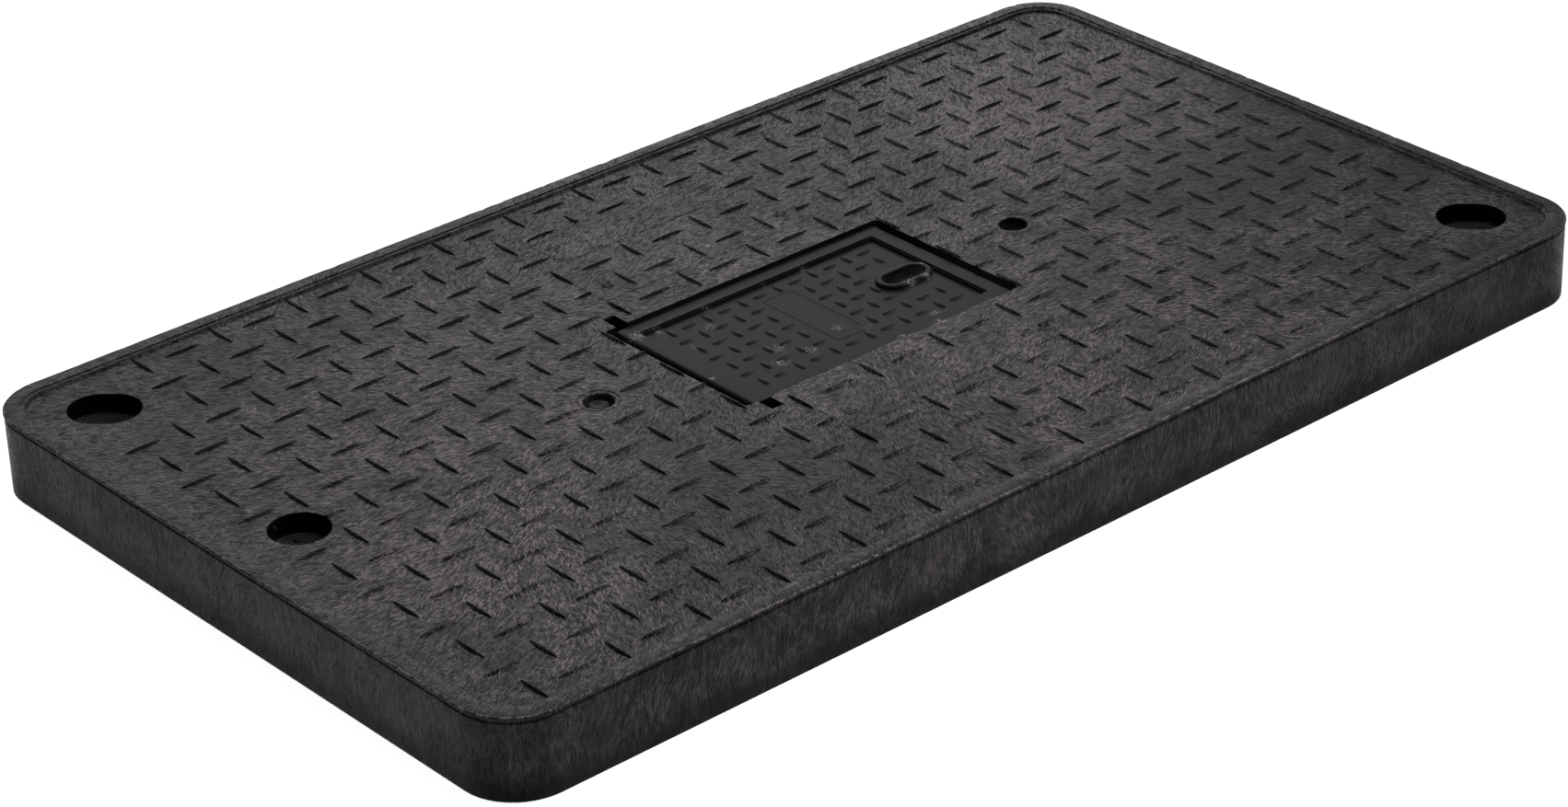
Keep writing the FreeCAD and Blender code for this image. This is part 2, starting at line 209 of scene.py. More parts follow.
points, triangles = packed_triangles("cover")
middle = points[triangles].mean(axis=1)
inset = inset_of(middle[:, 0], middle[:, 1])
is_outer_wall = (inset < lip_overhang + 0.2) & (middle[:, 2] > 0.01)
is_rim = (inset < field_inset + 0.001) & (middle[:, 2] > field_z - 2.0)
is_field_or_lug = (middle[:, 2] > field_z - 0.002) & (inset > field_inset - 0.5)
is_hole = np.zeros(len(triangles), bool)
for x, y, reach in hole_places:
    is_hole |= np.hypot(middle[:, 0] - x, middle[:, 1] - y) < reach
is_hole &= middle[:, 2] > field_z - hole_depth - 0.1
left_out = is_outer_wall | is_rim | is_field_or_lug | is_hole
cover_shell = make_piece("cover_shell", points, triangles[~left_out], smooth_angle=35)
print(left_out.sum(), "triangles of the cover get a finer surface")

# %% Keep the parts of the lid that stay as they are
slot_x, slot_length, slot_width, collar_width = 67.5, 28.5, 12.5, 4.0
points, triangles = packed_triangles("reader_lid")
middle = points[triangles].mean(axis=1)
on_panel = (np.abs(middle[:, 0] - lid_middle_x) < panel_half_x) & (np.abs(middle[:, 1]) < panel_half_y)
is_raised = (middle[:, 2] > lid_panel_z + 0.002) & on_panel
lid_shell = make_piece("reader_lid_shell", points, triangles[~is_raised], smooth_angle=35)

# %% [markdown]
# ## The rim and the outer walls
#
# The rim is one section carried round a rounded rectangle: up from the sunken field, over a small
# ledge and a flat, round the lip, and down the wall to the foot. A mould's parting line leaves the
# lip a little uneven, so its edge wanders by a tenth of a millimetre, with a few deeper nicks.
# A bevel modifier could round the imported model's edges, but it couldn't make them uneven, and a
# swept grid also gives each point its distance along the wall, which the finish needs.

# %% A walk round a rounded rectangle
def corner_walk(side_x, side_y, corner_steps, side_step):
    """Stations round a rounded rectangle: a place on its inner rectangle, and a direction outwards.

    The inner rectangle joins the centres of the corner arcs, and its corners are called (1, 1),
    (-1, 1), (-1, -1) and (1, -1). In a corner the place stays and the direction turns by a
    quarter. Along a side the direction stays and the place moves on to the next corner.
    """
    stations = []
    for k, length in enumerate((side_x, side_y, side_x, side_y)):
        turn = np.linspace(k, k + 1, corner_steps + 1) * math.pi / 2
        outwards = np.stack([np.cos(turn), np.sin(turn)], axis=1)
        stations.append(np.hstack([np.tile(corner_signs[k], (len(turn), 1)), outwards]))
        share = np.linspace(0, 1, max(2, round(length / side_step)) + 1)[1:-1, None]
        place = corner_signs[k] * (1 - share) + corner_signs[(k + 1) % 4] * share
        stations.append(np.hstack([place, np.tile(outwards[-1], (len(share), 1))]))
    return np.concatenate(stations).T


def outline_points(walk, half_x, half_y, radius):
    """The walk's stations on rounded rectangles whose half sizes and radii are given row by row.

    A point is its place times the half size less the radius, plus the radius times its direction.
    """
    place_x, place_y, out_x, out_y = walk
    half_x, half_y, radius = (np.asarray(row, float)[:, None] for row in (half_x, half_y, radius))
    return place_x * (half_x - radius) + radius * out_x, place_y * (half_y - radius) + radius * out_y


# %% Soft corners, and an edge that wanders
def soft_line(corners, softness, steps=4):
    """A line through corners, each rounded over its own distance.

    Each corner is replaced by a curve that leaves one side and joins the next, with the corner
    itself as the handle: a quadratic Bezier curve.
    """
    corners = np.array(corners, float)
    line = [corners[:1]]
    t = np.linspace(0, 1, steps + 1)[:, None]
    for k in range(1, len(corners) - 1):
        here = corners[k]
        back = corners[k - 1] - here
        ahead = corners[k + 1] - here
        start = here + back / np.linalg.norm(back) * softness[k - 1]
        end = here + ahead / np.linalg.norm(ahead) * softness[k - 1]
        line.append((1 - t) ** 2 * start + 2 * t * (1 - t) * here + t ** 2 * end)
    line.append(corners[-1:])
    return np.concatenate(line)


def wander(distance, spacing, seed, total):
    """A smooth random value from -1 to 1 along a closed path of a given length.

    Random values stand at even spacings, and a cosine ease joins each to the next.
    """
    count = max(4, round(total / spacing))
    values = np.random.default_rng(seed).uniform(-1, 1, count)
    place = distance / total * count
    low = np.floor(place).astype(int)
    ease = (1 - np.cos((place - low) * math.pi)) / 2
    return values[low % count] * (1 - ease) + values[(low + 1) % count] * ease


# %% Sweep the rim and the walls
foot_softness = 0.5
corners = [(field_inset + 1.2, field_drop + 0.01), (field_inset, field_drop),
           (field_inset - rim_slope, rim_step), (rim_width, rim_step), (rim_width - 0.15, 0), (0, 0),
           (0, lip_height * 0.5), (lip_overhang + 0.8, lip_height * 0.55),
           (lip_overhang + 0.8, lip_height), (lip_overhang, lip_height * 1.3),
           (lip_overhang, cover_height), (lip_overhang + 3, cover_height)]
softness = [0.55, 0.5, 0.3, 0.3, lip_radius * 0.6, 0.3, 0.25, 0.25, 0.4, foot_softness]
section = soft_line(corners, softness) * (1, -1) + (0, cover_height)
wall_rows = np.linspace(cover_height - lip_height - 1.9, foot_softness, 9)[1:-1]
below_lip = int(np.argmin(np.abs(section[:, 1] - foot_softness) + 99 * (section[:, 0] > 1)))
wall = np.stack([np.full(len(wall_rows), lip_overhang), wall_rows], axis=1)
section = np.concatenate([section[:below_lip], wall, section[below_lip:]])
rim_walk = corner_walk(2 * half_length, 2 * half_width, 14, 3.5)
section_inset, section_z = section.T
x, y = outline_points(rim_walk, half_length - section_inset, half_width - section_inset,
                      corner_radius - section_inset)
outer_x, outer_y = outline_points(rim_walk, [half_length], [half_width], [corner_radius])
steps = np.hypot(np.diff(outer_x[0], append=outer_x[0, 0]), np.diff(outer_y[0], append=outer_y[0, 0]))
perimeter = steps.sum()
along = np.concatenate([[0], np.cumsum(steps)[:-1]])
print("the rim's section has", len(section), "points, and the outline is", round(perimeter), "mm round")

# %% Make the lip a little uneven
edge_share = np.exp(-((section_inset - 0.3) / 1.1) ** 2) * (section_z > cover_height - lip_height - 0.5)
uneven = 0.07 * wander(along, 9.0, 3, perimeter) + 0.05 * wander(along, 3.6, 4, perimeter)
nicks = np.clip(wander(along, 5.0, 5, perimeter) - 0.72, 0, 1) * 2.2
shrink = edge_share[:, None] * (0.12 + uneven + nicks)[None, :]
centre_x = np.clip(x, corner_radius - half_length, half_length - corner_radius)
centre_y = np.clip(y, corner_radius - half_width, half_width - corner_radius)
reach = np.maximum(np.hypot(x - centre_x, y - centre_y), 1e-6)
x = x - (x - centre_x) / reach * shrink
y = y - (y - centre_y) / reach * shrink
z = np.repeat(section_z[:, None], x.shape[1], axis=1) - 0.35 * shrink
cover_rim = make_piece("cover_rim", np.stack([x, y, z], axis=-1), grid_quads(*x.shape, closed=True)[:, ::-1],
                       smooth_angle=50)

# %% Give the rim its distances along and down the wall
down = np.concatenate([[0], np.cumsum(np.hypot(np.diff(section_inset), np.diff(section_z)))])
ahead = np.append(along[1:], perimeter)
corner_uv = [(along, down[1:]), (ahead, down[1:]), (ahead, down[:-1]), (along, down[:-1])]
uv = np.stack([np.stack(np.meshgrid(*pair), axis=-1) for pair in corner_uv], axis=2) * MM
layer = cover_rim.data.uv_layers.new(name="along_wall")
layer.uv.foreach_set("vector", uv.reshape(-1).astype(np.float32))
is_wall_row = np.repeat(section_z[1:] < cover_height - 0.9, len(along))

# %% [markdown]
# ## The sunken field and its holes
#
# The field is one flat face with six openings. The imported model's round edges are short straight
# runs, which show as corners in a close view. So the field is drawn afresh as outlines with many
# points, and Blender's own fill closes the flat face between them. Each hole then gets a liner:
# a section of its soft edge, its wall and its floor, carried round the same outline.

# %% Outlines in plan
def round_outline(x, y, radius, stretch=0.0, turn=0.0, count=72):
    """Points round a circle whose halves are moved apart along X, then turned and placed.

    A point at angle a is (radius cos a + half the stretch towards its side, radius sin a).
    """
    angle = (np.arange(count) + 0.5) / count * 2 * math.pi
    px = radius * np.cos(angle) + stretch / 2 * np.sign(np.cos(angle))
    py = radius * np.sin(angle)
    c, s = math.cos(turn), math.sin(turn)
    return np.stack([x + c * px - s * py, y + s * px + c * py], axis=1)


def corner_arcs(half_x, half_y, radius, count):
    """The corners of a rounded rectangle in turn, each as points on its arc."""
    arcs = []
    for turn, (sx, sy) in enumerate(corner_signs):
        angle = np.linspace(turn, turn + 1, count) * math.pi / 2
        arcs.append(np.stack([sx * (half_x - radius) + radius * np.cos(angle),
                              sy * (half_y - radius) + radius * np.sin(angle)], axis=1))
    return arcs


hinge_x, notch_half, notch_y = -88.0, 4.1, 71.5
edge_softness = 0.45
ring_reach = {-1: 12.6, 1: 17.2}
first, second, third, fourth = corner_arcs(opening_half_x, opening_half_y, 1.5, 6)
notch = np.array([(hinge_x + notch_half, opening_half_y), (hinge_x + notch_half, notch_y),
                  (hinge_x - notch_half, notch_y), (hinge_x - notch_half, opening_half_y)])
outlines = [np.concatenate([first, notch, second, third, notch[::-1] * (1, -1), fourth]),
            round_outline(socket_x, 0, socket_radius + edge_softness)]
for side in (-1, 1):
    outlines.append(round_outline(side * lift_x, -side * lift_y, lift_radius + edge_softness,
                                  lift_stretch, -math.pi / 4))
    outlines.append(round_outline(side * gate_x, 0, ring_reach[side]))
print(len(outlines), "openings in the field")


# %% Fill the field between its outline and its openings
def taken_out(shape):
    """The corners and the faces of one of Blender's working meshes, which is then let go."""
    shape.verts.index_update()
    corners = np.array([vert.co[:] for vert in shape.verts])
    faces = [[vert.index for vert in face.verts] for face in shape.faces]
    shape.free()
    return corners, faces


def filled_face(name, edges, z):
    """One flat face inside the first outline and outside all the others."""
    shape = bmesh.new()
    for outline in edges:
        corners = [shape.verts.new((px, py, 0)) for px, py in outline]
        for k, corner in enumerate(corners):
            shape.edges.new((corner, corners[(k + 1) % len(corners)]))
    bmesh.ops.triangle_fill(shape, edges=shape.edges[:], use_beauty=True, normal=(0, 0, 1))
    bmesh.ops.recalc_face_normals(shape, faces=shape.faces[:])
    corners, faces = taken_out(shape)
    faces = np.array(faces)
    a, b, c = (corners[faces[:, k]] for k in range(3))
    upward = np.cross(b - a, c - a)[:, 2] > 0
    faces[~upward] = faces[~upward][:, ::-1]
    corners[:, 2] = z
    return make_piece(name, corners, faces)


under_rim = 0.4
half_x, half_y = half_length - field_inset + under_rim, half_width - field_inset + under_rim
field_outline = np.concatenate(corner_arcs(half_x, half_y, corner_radius - field_inset + under_rim, 16))
tread_field = filled_face("tread_field", [field_outline] + outlines, field_z)


# %% A section carried round a hole
def turned_section(name, x, y, section, stretch=0.0, turn=0.0, lumps=(), count=72):
    """A section of (radius, height above the field), carried round and closed in the middle.

    The stretch shrinks with the radius inside the first ring that it belongs to, so the middle
    stays one point. Each lump adds its height times cos(its number of bumps times the angle, plus
    its start), times exp(-(distance from its ring / its width) squared).
    """
    section = np.array(section, float)
    rings = []
    for radius, height in section[:-1]:
        ring = round_outline(x, y, radius, stretch * min(1.0, radius / section[0, 0]), turn, count)
        rings.append(np.column_stack([ring, np.full(count, field_z + height)]))
    points = np.concatenate(rings + [[[x, y, field_z + section[-1, 1]]]])
    angle = np.arctan2(points[:, 1] - y, points[:, 0] - x)
    radius = np.hypot(points[:, 0] - x, points[:, 1] - y)
    for height, bumps, start, ring, width in lumps:
        points[:, 2] += height * np.cos(bumps * angle + start) * np.exp(-((radius - ring) / width) ** 2)
    piece = closed_rings(name, points, count, smooth_angle=50)
    radii = np.append(np.repeat(section[:-1, 0], count), 0.0).astype(np.float32)
    piece.data.attributes.new("radius_mm", "FLOAT", "POINT").data.foreach_set("value", radii)
    return piece


# %% The three blind holes
def hole_section(radius):
    """From the field over a soft edge, down the wall, and over the floor to the middle."""
    return soft_line([(radius + edge_softness, 0), (radius, 0), (radius, -hole_depth),
                      (radius * 0.5, -hole_depth), (0, -hole_depth)],
                     [edge_softness * 0.98, 0.8, 0.5], steps=4)


hole_liners = [turned_section("round_socket", socket_x, 0, hole_section(socket_radius))]
for name, side in (("lift_hole_back", -1), ("lift_hole_front", 1)):
    hole_liners.append(turned_section(name, side * lift_x, -side * lift_y, hole_section(lift_radius),
                                      lift_stretch, -math.pi / 4))

# %% [markdown]
# ## The feed marks
#
# The melt enters the mould at two places, and the cut-off feeds leave marks there. The left one is
# a shallow dish inside a thin groove, with the broken stub in it. The right one is a plain funnel,
# with faint rings from the cutter that made this spot of the mould.

# %% The two feed marks
left_gate = turned_section("gate_left", -gate_x, 0, soft_line(
    [(ring_reach[-1], 0), (12.1, 0), (11.5, -0.55), (10.9, -0.05), (9.4, -0.1), (8.5, -0.7),
     (7.1, -4.0), (5.9, -4.0), (5.5, -2.3), (3.2, -2.2), (0, -2.9)],
    [0.2, 0.3, 0.3, 0.4, 0.5, 0.4, 0.3, 0.5, 0.6]), lumps=[(0.18, 3, 1, 4.6, 1.2)])
ripple_start, ripple_end, ripple_length = ring_reach[1], 9.6, 1.45
ripple_radius = np.linspace(ripple_start, ripple_end, 34)
ripple_fade = np.clip((ripple_start - ripple_radius) / 1.5, 0, 1) * np.clip((ripple_radius - 10) / 1.5, 0, 1)
ripple_turn = (ripple_radius - ripple_end) / ripple_length * 2 * math.pi
ripples = np.column_stack([ripple_radius, -0.09 * ripple_fade * (1 - np.cos(ripple_turn))])
funnel = soft_line([(9.5, 0), (8.6, 0), (7.0, -4.0), (3.5, -4.1), (0, -4.1)], [0.6, 0.6, 0.5])
right_gate = turned_section("gate_right", gate_x, 0, np.concatenate([ripples, funnel]))

# %% [markdown]
# ## The tread
#
# Each lug is a lens: its outline narrows to both ends as a parabola, its crest follows an arc, and
# its two flanks meet in a narrow ridge. The lugs stand on a square grid, by turns along and across.
# One lug is worked out once, and its points are copied to every place at a stroke. Only the lugs
# that meet a plate, the opening or a hole are cut, with Blender's own plane cut.

# %% One lug
def lens_lug(length, width, height, root, stations, across, bluntness=0.0, crown=1.3):
    """A closed lug along X, from its root below zero up to its crest.

    At share t of the half length the half width is b + (1 - b)(1 - t squared) times its most, where
    b is the bluntness, and the crest's height is the square root of (1 - t squared). Across it,
    at share s of the half width, the height above the root falls by |s| to the power of the crown.
    """
    t = np.sin(np.linspace(-math.pi / 2, math.pi / 2, stations))[1:-1, None]
    s = np.asarray(across, float)[None, :]
    half = width / 2 * (bluntness + (1 - bluntness) * (1 - t ** 2)) * (1 - t ** 8) ** 0.5
    top = height * (1 - t ** 2) ** 0.5
    body = np.stack([np.broadcast_to(t * length / 2, (stations - 2, s.shape[1])), half * s,
                     -root + (top + root) * (1 - np.abs(s) ** crown)], axis=-1).reshape(-1, 3)
    points = np.concatenate([body, [[-length / 2, 0, -root], [length / 2, 0, -root]]])
    m, rows = s.shape[1], stations - 2
    quads = grid_quads(rows, m, closed=True)[:, [0, 3, 2, 1]]
    tip_a, tip_b = len(body), len(body) + 1
    c = np.arange(m - 1)
    last = (rows - 1) * m
    fans = np.concatenate([
        np.stack([np.full(m - 1, tip_a), c, c + 1], axis=-1),
        np.stack([np.full(m - 1, tip_b), last + c + 1, last + c], axis=-1),
        [[tip_a, m - 1, 0], [tip_b, last, last + m - 1]]])
    return points, quads, fans


lug_pitch, lug_length, lug_width, lug_height = 25.4, 22.8, 4.6, 1.5
ridge_across = [-1.0, -0.55, -0.1, 0.1, 0.55, 1.0]
lug_shape = lens_lug(lug_length + 0.3, lug_width + 0.3, lug_height, 0.3, 9, ridge_across, 0.0, 1.02)
print("one lug has", len(lug_shape[1]) + len(lug_shape[2]), "faces")

# %% Where the lugs stand
lug_columns, lug_rows = 14, 8
sign_plate = (-64.0, 64.0, 141.5, 177.5)
maker_plate = (-75.5, 75.5, -117.0, -86.0)
blank_plate = (-76.3, 76.3, 87.5, 120.0)
blank_end = 12.6
cut_boxes = [
    sign_plate, maker_plate,
    (blank_plate[0], blank_plate[0] + blank_end, blank_plate[2], blank_plate[3]),
    (blank_plate[1] - blank_end, blank_plate[1], blank_plate[2], blank_plate[3]),
    (-opening_half_x, opening_half_x, -opening_half_y, opening_half_y),
    (hinge_x - notch_half, hinge_x + notch_half, -notch_y, notch_y),
    (socket_x - 30.0, socket_x + socket_radius + 0.3, -8.0, 8.0)]

i, j = np.mgrid[-lug_columns:lug_columns + 1, -lug_rows:lug_rows + 1].reshape(2, -1)
lug_x, lug_y = i * lug_pitch, j * lug_pitch
across_field = (i + j) % 2 == 0
clear_of_gate, clear_of_lift = 13, 38
clear = np.hypot(np.abs(lug_x) - gate_x, lug_y) > clear_of_gate
for side in (-1, 1):
    clear &= np.hypot(lug_x - side * lift_x, lug_y + side * lift_y) > clear_of_lift
half_x = np.where(across_field, lug_width, lug_length) / 2
half_y = np.where(across_field, lug_length, lug_width) / 2
touched = np.zeros(len(i), bool)
for x0, x1, y0, y1 in cut_boxes:
    touched |= ((lug_x + half_x > x0) & (lug_x - half_x < x1)
                & (lug_y + half_y > y0) & (lug_y - half_y < y1))
whole = clear & ~touched
print(whole.sum(), "whole lugs and", (clear & touched).sum(), "that are cut or left out")


# %% Copy a shape to many places
def copies(shape, x, y, z, turned):
    """A shape at many places: its points, turned by a quarter where asked, plus each place."""
    points, *face_sets = shape
    shape_x = np.where(turned[:, None], -points[None, :, 1], points[None, :, 0]) + x[:, None]
    shape_y = np.where(turned[:, None], points[None, :, 0], points[None, :, 1]) + y[:, None]
    shape_z = np.broadcast_to(points[None, :, 2] + z, shape_x.shape)
    offset = (np.arange(len(x)) * len(points))[:, None, None]
    moved = [(faces[None] + offset).reshape(-1, faces.shape[1]) for faces in face_sets]
    return [np.stack([shape_x, shape_y, shape_z], axis=-1).reshape(-1, 3)] + moved


# %% Cut a lug back to what stays outside the boxes
def cut_by_box(points, faces, box):
    """What a box in plan leaves of a closed shape, as pairs of points and triangles.

    What lies beyond each side is cut off in turn and kept, and the cut is filled.
    """
    x0, x1, y0, y1 = box
    planes = [((x0, 0), (1, 0)), ((x1, 0), (-1, 0)), ((0, y0), (0, 1)), ((0, y1), (0, -1))]
    left = []
    for place, direction in planes:
        shape = bmesh.new()
        corners = [shape.verts.new(point) for point in points]
        for face in faces:
            shape.faces.new([corners[k] for k in face])
        everything = shape.verts[:] + shape.edges[:] + shape.faces[:]
        bmesh.ops.bisect_plane(shape, geom=everything, dist=1e-5, plane_co=(*place, 0),
                               plane_no=(*direction, 0), clear_outer=True)
        open_edges = [edge for edge in shape.edges if edge.is_boundary]
        bmesh.ops.holes_fill(shape, edges=open_edges, sides=0)
        bmesh.ops.triangulate(shape, faces=shape.faces[:])
        corners, faces_left = taken_out(shape)
        if faces_left:
            left.append((corners, faces_left))
    return left


def cut_lug(k):
    """One lug, cut back to what stays outside all the boxes."""
    place = slice(k, k + 1)
    points, quads, fans = copies(lug_shape, lug_x[place], lug_y[place], field_z, across_field[place])
    pieces = [(points, quads.tolist() + fans.tolist())]
    for box in cut_boxes:
        x0, x1, y0, y1 = box
        following = []
        for points, faces in pieces:
            low, high = points.min(0), points.max(0)
            outside = high[0] <= x0 or low[0] >= x1 or high[1] <= y0 or low[1] >= y1
            following += [(points, faces)] if outside else cut_by_box(points, faces, box)
        pieces = following
    return [piece for piece in pieces if np.ptp(piece[0], axis=0).max() > shortest_scrap]


# %% Put the whole lugs and the cut ones together
def with_cut_shapes(points, quads, fans, shapes):
    """Adds cut shapes to the arrays of the whole ones."""
    for more, faces in shapes:
        fans = np.concatenate([fans, np.array(faces) + len(points)])
        points = np.concatenate([points, more])
    return points, quads, fans


def only_triangles(faces):
    """Splits four-sided faces in a list into triangles."""
    triangles = []
    for face in faces:
        triangles += [face] if len(face) == 3 else [face[:3], face[:1] + face[2:]]
    return triangles


shortest_scrap = 3.5
cut_shapes = [(points, only_triangles(faces)) for k in np.flatnonzero(clear & touched)
              for points, faces in cut_lug(k)]
arrays = copies(lug_shape, lug_x[whole], lug_y[whole], field_z, across_field[whole])
tread_lugs = make_piece("tread_lugs", *with_cut_shapes(*arrays, cut_shapes), smooth_angle=60)

# %% [markdown]
# The lugs' flanks carry painted shade. A flank that faces the left of the cover is painted darker the
# further left it stands, and a flank that faces the front is painted darker the further back it stands, as
# the light falls. The flanks that face away are painted dark too. The crests are painted paler, partly from
# wear by shoes and weather and partly as a painted highlight along the ridge. Each face of the lugs carries
# this share of the pale skin as a number, and the finish reads it.

# %% The share of pale skin on each face of the lugs, with painted shade and highlights
def per_face(piece, what, places):
    """One value, or a few, for each face of a piece, as an array with a row for each face."""
    values = np.empty(len(piece.data.polygons) * places, np.float32)
    piece.data.polygons.foreach_get(what, values)
    return values.reshape(-1, places)


def eased(value, low, high):
    """0 below low, 1 above high, and an S-shaped rise between them."""
    t = np.clip((value - low) / (high - low), 0, 1)
    return t * t * (3 - 2 * t)


sideways, upwards = 0.3, 0.975
facing = per_face(tread_lugs, "normal", 3)
face_x, face_y = (per_face(tread_lugs, "center", 3)[:, :2] / MM).T
# Flanks that face left, to the front or away are painted darker as shade, by where they stand. Crests are
# painted paler, partly as wear and partly as a painted highlight.
shares = {"far": (np.maximum(facing[:, 0], facing[:, 1]) > sideways, np.full(len(facing), 0.25)),
          "left": (facing[:, 0] < -sideways, 0.12 + 0.75 * eased(face_x, -60.0, 260.0)),
          "front": (facing[:, 1] < -sideways, 1.05 - 0.85 * eased(face_y, -40.0, 90.0)),
          "crest": (facing[:, 2] > upwards, np.full(len(facing), 1.7))}
painted_light_share = np.ones(len(facing), np.float32)
for name, (chosen, share) in shares.items():
    painted_light_share[chosen] = share[chosen]
    print(name, "faces:", chosen.sum(), "with a mean pale share of", round(float(share[chosen].mean()), 2))
tread_lugs.data.attributes.new("painted_light_share", "FLOAT", "FACE").data.foreach_set("value", painted_light_share)

# %% [markdown]
# ## The plates
#
# Three rectangles of the tread hold no lugs, or thinner ones, for signs. They carry no words here,
# so each is a bare pad a fifth of a millimetre high, as a mould insert leaves it. Small lumpy
# marks show where the inserts' screws were.

# %% Raised pads
def raised_pad(name, box, radius, height, edge):
    """A flat pad with soft edges: a section of (inset, height) carried round a rounded rectangle."""
    x0, x1, y0, y1 = box
    walk = corner_walk(x1 - x0, y1 - y0, 5, 8.0)
    section = soft_line([(-edge, -0.05), (0.0, height), (edge * 3, height), (radius * 0.9, height)],
                        [edge * 0.6, 0.2])
    inset, z = section.T
    x, y = outline_points(walk, (x1 - x0) / 2 - inset, (y1 - y0) / 2 - inset, radius - inset)
    z = np.repeat(z[:, None], x.shape[1], axis=1)
    points = np.append(np.stack([x, y, z], axis=-1).reshape(-1, 3), [[0, 0, height]], axis=0)
    return closed_rings(name, points + ((x0 + x1) / 2, (y0 + y1) / 2, field_z), x.shape[1], smooth_angle=60)


plates = [raised_pad("sign_plate_back", sign_plate, 8.0, 0.22, 0.25),
          raised_pad("sign_plate_front", maker_plate, 3.0, 0.22, 0.25),
          raised_pad("blank_plate", blank_plate, 3.0, 0.20, 0.25)]

# %% The screw marks
mark_places = [(-56.0, 160.4), (57.4, 161.0), (-63.0, 103.4), (65.0, 103.4), (-64.0, -102.0),
               (64.0, -102.0)]
mark_section = soft_line([(4.6, -0.05), (3.9, 0.5), (2.6, 0.75), (1.3, 0.25), (0.6, 0.6), (0, 0.6)],
                         [0.5, 0.5, 0.4, 0.2])
marks = []
for number, (x, y) in enumerate(mark_places):
    marks.append(turned_section("screw_mark_%d" % (number + 1), x, y, mark_section, count=28,
                                lumps=[(0.32, 4, 2.1 * number, 2.8, 1.1), (0.15, 7, number, 3.4, 0.8)]))

# %% [markdown]
# ## The reader lid's lugs and collar
#
# The lid's lugs are small and soft, with blunt ends. They are the same lens with a fuller crown.
# The collar round the finger slot is a raised, rounded ring, so a section is carried round the
# slot's own outline.

# %% The lid's lugs
lid_pitch = 12.9
lid_columns, lid_rows = 12, 7
lid_lug_shape = lens_lug(10.2, 4.4, 1.1, 0.25, 9, [-1.0, -0.75, -0.35, 0.0, 0.35, 0.75, 1.0], 0.4, 1.9)
i, j = np.mgrid[:lid_columns, :lid_rows].reshape(2, -1)
x = lid_middle_x + (i - (lid_columns - 1) / 2) * lid_pitch
y = (j - (lid_rows - 1) / 2) * lid_pitch
on_band = (np.abs(x - lid_middle_x) < band_half_x) & (np.abs(y) < band_half_y)
near_collar = ((np.abs(x - slot_x) < slot_length / 2 + collar_width)
               & (np.abs(y) < slot_width / 2 + collar_width + 4.8))
stands = ~on_band & ~near_collar
lid_lugs = make_piece("reader_lid_lugs", *copies(lid_lug_shape, x[stands], y[stands], lid_panel_z,
                                                 ((i + j) % 2 == 0)[stands]), smooth_angle=60)

# %% The collar of the finger slot
inner, outer = slot_width / 2, slot_width / 2 + collar_width
section = soft_line([(inner, lid_panel_z - 1.0), (inner, lid_top_z), (outer, lid_top_z),
                     (outer, lid_panel_z - 0.2)], [0.9, 1.5], steps=5)
count = 64
rings = []
for radius, z in section:
    ring = round_outline(slot_x, 0, radius, slot_length - slot_width, 0.0, count)
    rings.append(np.column_stack([ring, np.full(count, z)]))
lid_collar = make_piece("finger_slot_collar", np.stack(rings),
                        grid_quads(len(rings), count, closed=True)[:, ::-1], smooth_angle=60)

# %% The fine line round the lid's bare band
band_walk = corner_walk(2 * band_half_x, 2 * band_half_y, 4, 6.0)
section = soft_line([(-0.35, -0.05), (0.0, 0.22), (0.35, -0.05)], [0.15])
x, y = outline_points(band_walk, band_half_x - section[:, 0], band_half_y - section[:, 0],
                      2.0 - section[:, 0])
z = np.repeat(section[:, 1:] + lid_panel_z, x.shape[1], axis=1)
lid_band_line = make_piece("reader_lid_band_line", np.stack([x + lid_middle_x, y, z], axis=-1),
                           grid_quads(*x.shape, closed=True), smooth_angle=80)

# %% The floor
floor_reach = 9000.0
floor_points = np.column_stack([corner_signs * floor_reach, np.zeros(4)])
floor = make_piece("floor", floor_points, np.array([[0, 1, 2, 3]]))


# %% [markdown]
# ## A small helper for finishes
#
# A finish is a tree of nodes. Written out one by one, forty nodes hide the idea, so these helpers
# let a formula be written as a formula: each call, sum or product adds a node and gives back its
# output as a value. The floor and the surround are written with them too.

# %% Values that arithmetic can be done on
class Value:
    """What a node gives out. Arithmetic on it adds a node and gives back that node's value."""

    def __init__(self, nodes, socket):
        self.nodes = nodes
        self.socket = socket

    def __add__(self, more):
        return self.nodes.math("ADD", self, more)

    def __sub__(self, less):
        return self.nodes.math("SUBTRACT", self, less)

    def __rsub__(self, whole):
        return self.nodes.math("SUBTRACT", whole, self)

    def __mul__(self, factor):
        return self.nodes.math("MULTIPLY", self, factor)

    def other(self, output):
        """Another output of the same node."""
        return Value(self.nodes, self.socket.node.outputs[output])


